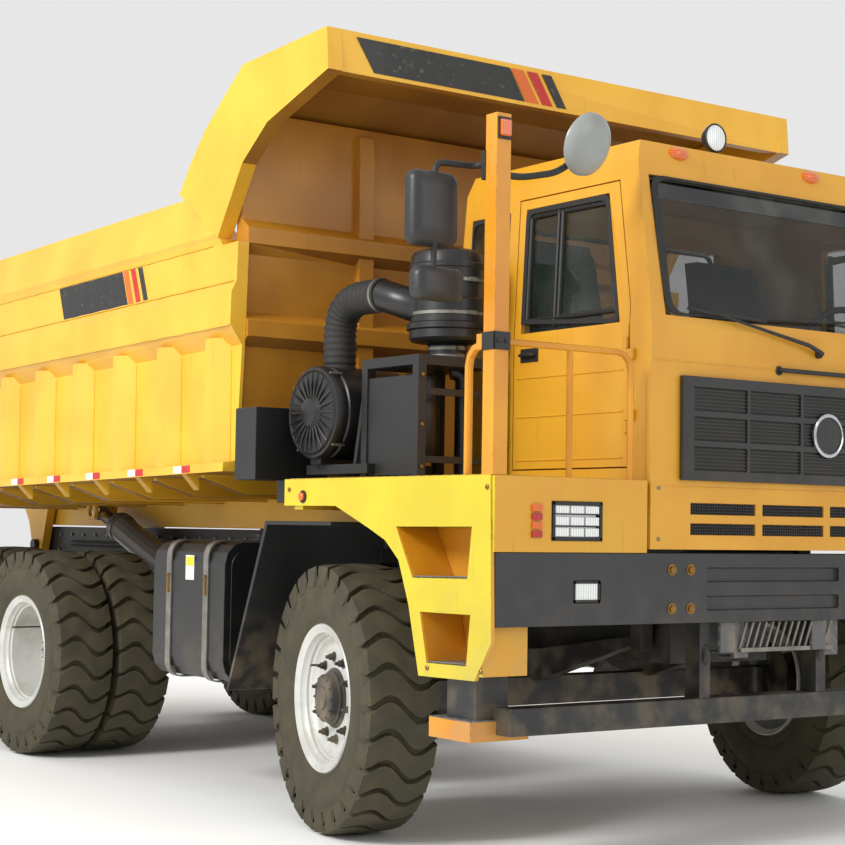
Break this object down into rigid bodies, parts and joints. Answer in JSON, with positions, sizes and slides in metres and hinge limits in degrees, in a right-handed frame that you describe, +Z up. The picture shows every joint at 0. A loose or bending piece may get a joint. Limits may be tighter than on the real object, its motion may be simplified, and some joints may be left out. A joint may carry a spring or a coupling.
{
  "type": "off-road mining dump truck",
  "caption": "Wide-body mining dump truck with a canopied tipping body, an offset cab, an open side deck with air cleaners and twin-tyred driven axles.",
  "frame": {"origin": "on the ground, below the middle of the overall length and width", "axes": "+X to the left side of the truck, +Y to the rear, +Z up"},
  "size_m": [4.12, 8.582, 4.1067],
  "materials": {
    "air_cleaner": "black moulded plastic",
    "air_tank": "black chassis paint, satin",
    "bed_canopy": "bright yellow gloss paint",
    "bed_floor": "bright yellow gloss paint",
    "bed_front_wall": "bright yellow gloss paint",
    "bed_side_left": "bright yellow gloss paint",
    "bed_side_right": "bright yellow gloss paint",
    "bogie_springs": "black chassis paint, satin",
    "cab_interior": "dark cloth and moulded plastic",
    "cab_shell": "bright yellow gloss paint",
    "chassis_frame": "black chassis paint, satin",
    "cleaner_stand": "black chassis paint, satin",
    "door_glass_left": "clear safety glass with a slight grey-green tint",
    "door_glass_right": "clear safety glass with a slight grey-green tint",
    "door_left": "bright yellow gloss paint",
    "door_right": "bright yellow gloss paint",
    "fender_left": "bright yellow gloss paint",
    "fender_right": "bright yellow gloss paint",
    "front_axle": "black chassis paint over cast metal",
    "front_bumper": "black chassis paint, satin",
    "fuel_tank": "black chassis paint, satin",
    "grille": "black moulded plastic",
    "handrail_right": "orange-yellow gloss paint",
    "hoist_rod_left": "polished chrome-plated steel",
    "hoist_rod_right": "polished chrome-plated steel",
    "hoist_tube_left": "bright yellow gloss paint",
    "hoist_tube_right": "bright yellow gloss paint",
    "hydraulic_tank": "black chassis paint, satin",
    "intake_drum": "black moulded plastic",
    "knuckle_left": "black chassis paint over cast metal",
    "knuckle_right": "black chassis paint over cast metal",
    "mirrors_left": "black moulded plastic",
    "mirrors_right": "black moulded plastic",
    "mudguard_left": "black moulded plastic",
    "mudguard_right": "black moulded plastic",
    "powertrain": "black chassis paint over cast metal",
    "rear_axle_1": "black chassis paint over cast metal",
    "rear_axle_2": "black chassis paint over cast metal",
    "rear_window": "clear safety glass with a slight grey-green tint",
    "rim_front_left": "silver-grey paint over steel",
    "rim_front_right": "silver-grey paint over steel",
    "rim_rear1_left": "silver-grey paint over steel",
    "rim_rear1_right": "silver-grey paint over steel",
    "rim_rear2_left": "silver-grey paint over steel",
    "rim_rear2_right": "silver-grey paint over steel",
    "silencer": "heat-dulled aluminised steel",
    "tyre_front_left": "moulded black rubber, matt",
    "tyre_front_right": "moulded black rubber, matt",
    "tyre_rear1_left_inner": "moulded black rubber, matt",
    "tyre_rear1_left_outer": "moulded black rubber, matt",
    "tyre_rear1_right_inner": "moulded black rubber, matt",
    "tyre_rear1_right_outer": "moulded black rubber, matt",
    "tyre_rear2_left_inner": "moulded black rubber, matt",
    "tyre_rear2_left_outer": "moulded black rubber, matt",
    "tyre_rear2_right_inner": "moulded black rubber, matt",
    "tyre_rear2_right_outer": "moulded black rubber, matt",
    "underrun_bar": "orange-yellow gloss paint",
    "windscreen": "clear safety glass with a slight grey-green tint"
  },
  "bodies": {
    "chassis": {"air_cleaner": "air_cleaner", "air_tank": "air_tank", "bogie_springs": "bogie_springs", "cab_interior": "cab_interior", "cab_shell": "cab_shell", "chassis_frame": "chassis_frame", "cleaner_stand": "cleaner_stand", "fender_left": "fender_left", "fender_right": "fender_right", "front_axle": "front_axle", "front_bumper": "front_bumper", "fuel_tank": "fuel_tank", "grille": "grille", "handrail_right": "handrail_right", "hydraulic_tank": "hydraulic_tank", "intake_drum": "intake_drum", "mirrors_left": "mirrors_left", "mirrors_right": "mirrors_right", "mudguard_left": "mudguard_left", "mudguard_right": "mudguard_right", "powertrain": "powertrain", "rear_axle_1": "rear_axle_1", "rear_axle_2": "rear_axle_2", "rear_window": "rear_window", "silencer": "silencer", "underrun_bar": "underrun_bar", "windscreen": "windscreen"},
    "knuckle_right": {"knuckle_right": "knuckle_right"},
    "wheel_front_right": {"tyre_front_right": "tyre_front_right", "rim_front_right": "rim_front_right"},
    "wheel_rear1_right": {"tyre_rear1_right_outer": "tyre_rear1_right_outer", "tyre_rear1_right_inner": "tyre_rear1_right_inner", "rim_rear1_right": "rim_rear1_right"},
    "wheel_rear2_right": {"tyre_rear2_right_outer": "tyre_rear2_right_outer", "tyre_rear2_right_inner": "tyre_rear2_right_inner", "rim_rear2_right": "rim_rear2_right"},
    "door_right": {"door_right": "door_right", "door_glass_right": "door_glass_right"},
    "hoist_tube_right": {"hoist_tube_right": "hoist_tube_right"},
    "hoist_rod_right": {"hoist_rod_right": "hoist_rod_right"},
    "knuckle_left": {"knuckle_left": "knuckle_left"},
    "wheel_front_left": {"tyre_front_left": "tyre_front_left", "rim_front_left": "rim_front_left"},
    "wheel_rear1_left": {"tyre_rear1_left_outer": "tyre_rear1_left_outer", "tyre_rear1_left_inner": "tyre_rear1_left_inner", "rim_rear1_left": "rim_rear1_left"},
    "wheel_rear2_left": {"tyre_rear2_left_outer": "tyre_rear2_left_outer", "tyre_rear2_left_inner": "tyre_rear2_left_inner", "rim_rear2_left": "rim_rear2_left"},
    "door_left": {"door_left": "door_left", "door_glass_left": "door_glass_left"},
    "hoist_tube_left": {"hoist_tube_left": "hoist_tube_left"},
    "hoist_rod_left": {"hoist_rod_left": "hoist_rod_left"},
    "dump_body": {"bed_floor": "bed_floor", "bed_side_right": "bed_side_right", "bed_side_left": "bed_side_left", "bed_front_wall": "bed_front_wall", "bed_canopy": "bed_canopy"}
  },
  "joints": [
    {"name": "steer_right", "type": "hinge", "parent": "chassis", "child": "knuckle_right", "pos_m": [-1.28, -2.83569, 0.675], "axis": [0, 0, 1], "range_deg": [-21.3, 42.7]},
    {"name": "spin_front_right", "type": "hinge", "parent": "knuckle_right", "child": "wheel_front_right", "pos_m": [-1.52565, -2.78927, 0.675], "axis": [0.9826, -0.1857, 0], "continuous": true},
    {"name": "spin_rear1_right", "type": "hinge", "parent": "chassis", "child": "wheel_rear1_right", "pos_m": [-1.54, 0.92431, 0.675], "axis": [1, 0, 0], "continuous": true},
    {"name": "spin_rear2_right", "type": "hinge", "parent": "chassis", "child": "wheel_rear2_right", "pos_m": [-1.54, 2.42431, 0.675], "axis": [1, 0, 0], "continuous": true},
    {"name": "door_right_hinge", "type": "hinge", "parent": "chassis", "child": "door_right", "pos_m": [-0.838, -4.06369, 2.2], "axis": [0, 0, 1], "range_deg": [0, 65]},
    {"name": "steer_left", "type": "hinge", "parent": "chassis", "child": "knuckle_left", "pos_m": [1.28, -2.83569, 0.675], "axis": [0, 0, 1], "range_deg": [-21.3, 42.7]},
    {"name": "spin_front_left", "type": "hinge", "parent": "knuckle_left", "child": "wheel_front_left", "pos_m": [1.52565, -2.88211, 0.675], "axis": [0.9826, -0.1857, 0], "continuous": true},
    {"name": "spin_rear1_left", "type": "hinge", "parent": "chassis", "child": "wheel_rear1_left", "pos_m": [1.54, 0.92431, 0.675], "axis": [1, 0, 0], "continuous": true},
    {"name": "spin_rear2_left", "type": "hinge", "parent": "chassis", "child": "wheel_rear2_left", "pos_m": [1.54, 2.42431, 0.675], "axis": [1, 0, 0], "continuous": true},
    {"name": "door_left_hinge", "type": "hinge", "parent": "chassis", "child": "door_left", "pos_m": [1.518, -4.06369, 2.2], "axis": [0, 0, -1], "range_deg": [0, 65]},
    {"name": "body_tilt", "type": "hinge", "parent": "chassis", "child": "dump_body", "pos_m": [0, 3.36431, 1.35], "axis": [-1, 0, 0], "range_deg": [0, 45]},
    {"name": "hoist_tube_right_pivot", "type": "hinge", "parent": "chassis", "child": "hoist_tube_right", "pos_m": [-0.65, -0.23569, 0.85], "axis": [1, 0, 0], "range_deg": [0, 12.29]},
    {"name": "hoist_rod_right_slide", "type": "slide", "parent": "hoist_tube_right", "child": "hoist_rod_right", "axis": [0, 0.9432, 0.3321], "range_m": [0, 0.95]},
    {"name": "hoist_tube_left_pivot", "type": "hinge", "parent": "chassis", "child": "hoist_tube_left", "pos_m": [0.65, -0.23569, 0.85], "axis": [1, 0, 0], "range_deg": [0, 12.29]},
    {"name": "hoist_rod_left_slide", "type": "slide", "parent": "hoist_tube_left", "child": "hoist_rod_left", "axis": [0, 0.9432, 0.3321], "range_m": [0, 0.95]}
  ],
  "couplings": [
    {"joint": "steer_right", "follows": "steer_left", "ratio": 1},
    {"joint": "hoist_tube_right_pivot", "follows": "body_tilt", "ratio": 0.2621},
    {"joint": "hoist_rod_right_slide", "follows": "body_tilt", "m_per_rad": 1.2031},
    {"joint": "hoist_tube_left_pivot", "follows": "body_tilt", "ratio": 0.2621},
    {"joint": "hoist_rod_left_slide", "follows": "body_tilt", "m_per_rad": 1.2031}
  ]
}
